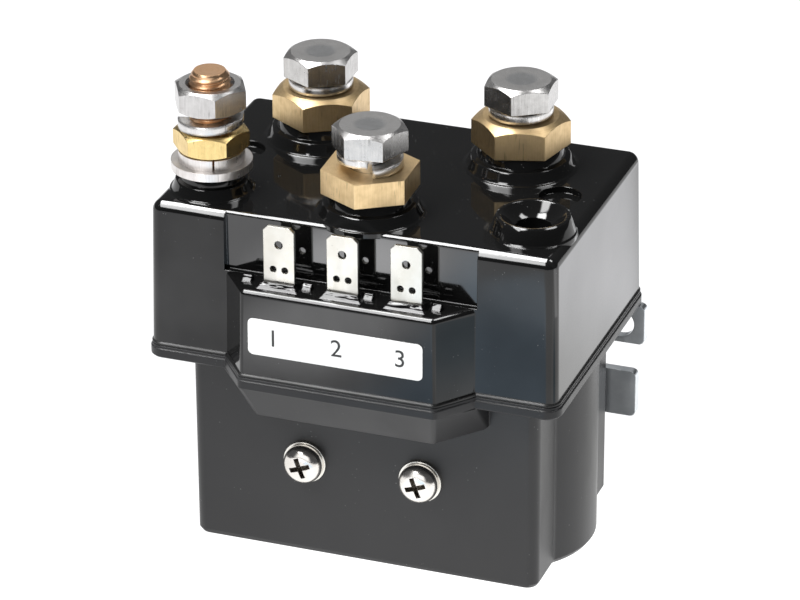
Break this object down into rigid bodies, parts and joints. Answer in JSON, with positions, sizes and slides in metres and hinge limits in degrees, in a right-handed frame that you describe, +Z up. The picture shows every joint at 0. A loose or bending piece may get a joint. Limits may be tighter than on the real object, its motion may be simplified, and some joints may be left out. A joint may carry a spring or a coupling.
{
  "type": "winch contactor",
  "caption": "Reversing winch contactor: black plastic case with plunger coils, brass bolt terminals, a copper stud, tab blades and a steel bracket.",
  "frame": {"origin": "middle of the cover's plan, on the flat bottom of the lower housing", "axes": "+X to the right seen from the front, +Y to the back where the bracket is, +Z up out of the top terminals"},
  "size_m": [0.0872, 0.0668, 0.1005],
  "materials": {
    "housing_plastic": "satin moulded thermoplastic",
    "cover_plastic": "glossy moulded thermoset",
    "label_white": "white film",
    "zinc_steel": "zinc plated",
    "bright_steel": "bright stainless",
    "brass": "turned",
    "copper": "bare copper",
    "tinned_blade": "tin plated, satin",
    "lead_insulation": "insulated wire",
    "nylon": "natural nylon",
    "silver_tip": "silver alloy",
    "soft_iron": "plated soft iron",
    "winding": "enamelled copper wire",
    "spring_steel": "spring wire"
  },
  "bodies": {
    "case": {"lower_housing": "housing_plastic", "upper_cover": "cover_plastic", "front_label": "label_white", "mounting_bracket": "zinc_steel", "front_screws": "bright_steel", "front_screw_washers": "zinc_steel", "bracket_screws": "bright_steel", "bracket_screw_washers": "zinc_steel", "left_motor_terminal": "brass", "right_motor_terminal": "brass", "positive_terminal": "brass", "terminal_bolts": "bright_steel", "terminal_lock_washers": "bright_steel", "negative_stud": "copper", "stud_flat_washer": "zinc_steel", "stud_lower_lock_washer": "bright_steel", "stud_brass_nut": "brass", "stud_upper_lock_washer": "bright_steel", "stud_steel_nut": "bright_steel", "left_coil_blade": "tinned_blade", "common_coil_blade": "tinned_blade", "right_coil_blade": "tinned_blade", "coil_leads": "lead_insulation", "contact_base": "nylon", "negative_bus": "copper", "positive_bus": "copper", "left_motor_contact": "copper", "right_motor_contact": "copper", "fixed_contact_tips": "silver_tip", "solenoid_frame": "soft_iron", "flux_plate": "soft_iron", "left_bobbin": "nylon", "right_bobbin": "nylon", "left_winding": "winding", "right_winding": "winding", "left_core": "soft_iron", "right_core": "soft_iron", "left_return_spring": "spring_steel", "right_return_spring": "spring_steel"},
    "left_armature": {"left_plunger": "soft_iron", "left_push_rod": "bright_steel", "left_contact_bridge": "copper", "left_moving_tips": "silver_tip", "left_bridge_bush": "nylon", "left_contact_springs": "spring_steel", "left_rod_clips": "spring_steel"},
    "right_armature": {"right_plunger": "soft_iron", "right_push_rod": "bright_steel", "right_contact_bridge": "copper", "right_moving_tips": "silver_tip", "right_bridge_bush": "nylon", "right_contact_springs": "spring_steel", "right_rod_clips": "spring_steel"}
  },
  "joints": [
    {"name": "left_plunger_slide", "type": "slide", "parent": "case", "child": "left_armature", "axis": [0, 0, -1], "range_m": [0, 0.0025], "stiffness_N_per_m": 600, "springref_m": -0.005, "deforming": ["left_return_spring"]},
    {"name": "right_plunger_slide", "type": "slide", "parent": "case", "child": "right_armature", "axis": [0, 0, -1], "range_m": [0, 0.0025], "stiffness_N_per_m": 600, "springref_m": -0.005, "deforming": ["right_return_spring"]}
  ]
}
